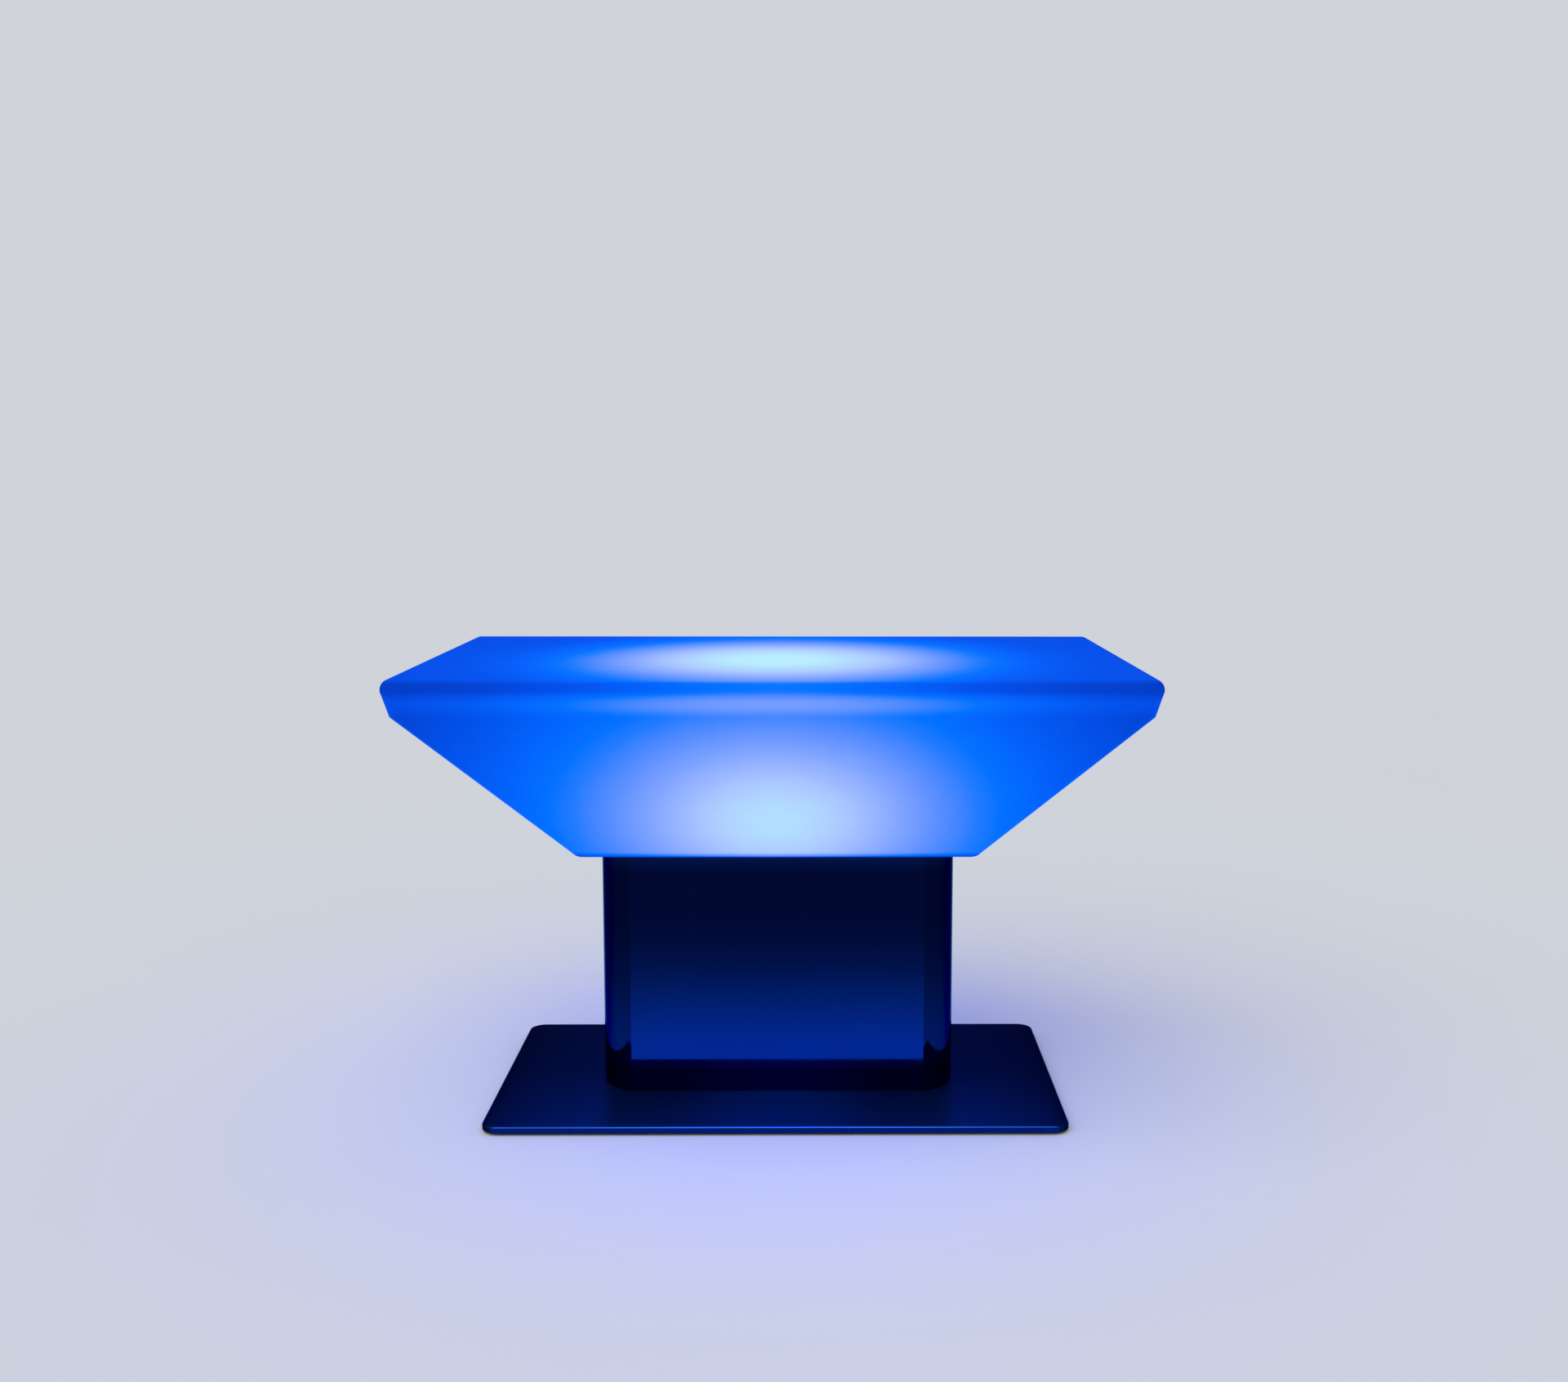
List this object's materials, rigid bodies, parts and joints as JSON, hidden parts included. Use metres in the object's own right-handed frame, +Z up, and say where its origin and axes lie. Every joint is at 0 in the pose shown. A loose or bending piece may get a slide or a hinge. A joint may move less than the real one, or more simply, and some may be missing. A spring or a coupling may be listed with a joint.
{
  "type": "light-up table",
  "caption": "Glowing coffee table: hollow translucent top tapering down to a polished steel column with flat sides and rounded corners on a flat rectangular steel base plate.",
  "frame": {"origin": "on the floor under the middle of the table", "axes": "+Z up, X along the long side of the top, the front faces -Y and the push button and charging inlet are on the +Y face of the column"},
  "size_m": [0.891, 0.569, 0.566],
  "materials": {
    "glowing_plastic": "satin rotomoulded polyethylene, lit blue from inside",
    "polished_steel": "mirror-polished stainless sheet",
    "satin_steel": "satin stainless plate",
    "mill_steel": "mill-finish steel",
    "zinc_steel": "zinc-plated",
    "brushed_button": "turned, fine brushed",
    "cast_aluminium": "as machined",
    "brass": "turned",
    "black_rubber": "matte",
    "black_plastic": "fine texture",
    "black_cable": "matte jacket",
    "white_board": "white solder mask",
    "green_board": "green solder mask",
    "opal_plastic": "opal, diffusing",
    "grey_foam": "closed-cell foam",
    "pack_wrap": "shrink wrap"
  },
  "bodies": {
    "table": {"light_body": "glowing_plastic", "column_sleeve": "polished_steel", "button_bushing": "polished_steel", "base_plate": "satin_steel", "foot_flange": "mill_steel", "head_flange": "mill_steel", "battery_tray": "mill_steel", "battery_clamp": "mill_steel", "base_screw_1": "zinc_steel", "base_screw_2": "zinc_steel", "base_screw_3": "zinc_steel", "base_screw_4": "zinc_steel", "body_bolt_1": "zinc_steel", "body_bolt_2": "zinc_steel", "body_bolt_3": "zinc_steel", "body_bolt_4": "zinc_steel", "led_board_screw_1": "zinc_steel", "led_board_screw_2": "zinc_steel", "dome_screw_1": "zinc_steel", "dome_screw_2": "zinc_steel", "dome_screw_3": "zinc_steel", "dome_screw_4": "zinc_steel", "clamp_screw_1": "zinc_steel", "clamp_screw_2": "zinc_steel", "controller_screw_1": "zinc_steel", "controller_screw_2": "zinc_steel", "lid_screw_1": "zinc_steel", "lid_screw_2": "zinc_steel", "lid_screw_3": "zinc_steel", "lid_screw_4": "zinc_steel", "button_nut": "zinc_steel", "socket_nut": "zinc_steel", "button_spring": "zinc_steel", "led_heatsink": "cast_aluminium", "dome_ring": "cast_aluminium", "body_insert_1": "brass", "body_insert_2": "brass", "body_insert_3": "brass", "body_insert_4": "brass", "floor_glide_1": "black_rubber", "floor_glide_2": "black_rubber", "floor_glide_3": "black_rubber", "floor_glide_4": "black_rubber", "body_gasket": "black_rubber", "cable_grommet": "black_rubber", "controller_box": "black_plastic", "controller_lid": "black_plastic", "switch_module": "black_plastic", "charge_socket": "black_plastic", "led_lead": "black_cable", "battery_lead": "black_cable", "switch_lead": "black_cable", "charge_lead": "black_cable", "led_board": "white_board", "controller_board": "green_board", "led_dome": "opal_plastic", "battery_pad": "grey_foam", "battery_pack": "pack_wrap"},
    "push_button": {"power_button": "brushed_button", "button_clip": "zinc_steel"}
  },
  "joints": [
    {"name": "button_press", "type": "slide", "parent": "table", "child": "push_button", "axis": [0, -1, 0], "range_m": [0, 0.002], "stiffness_N_per_m": 300, "deforming": ["button_spring"]}
  ]
}
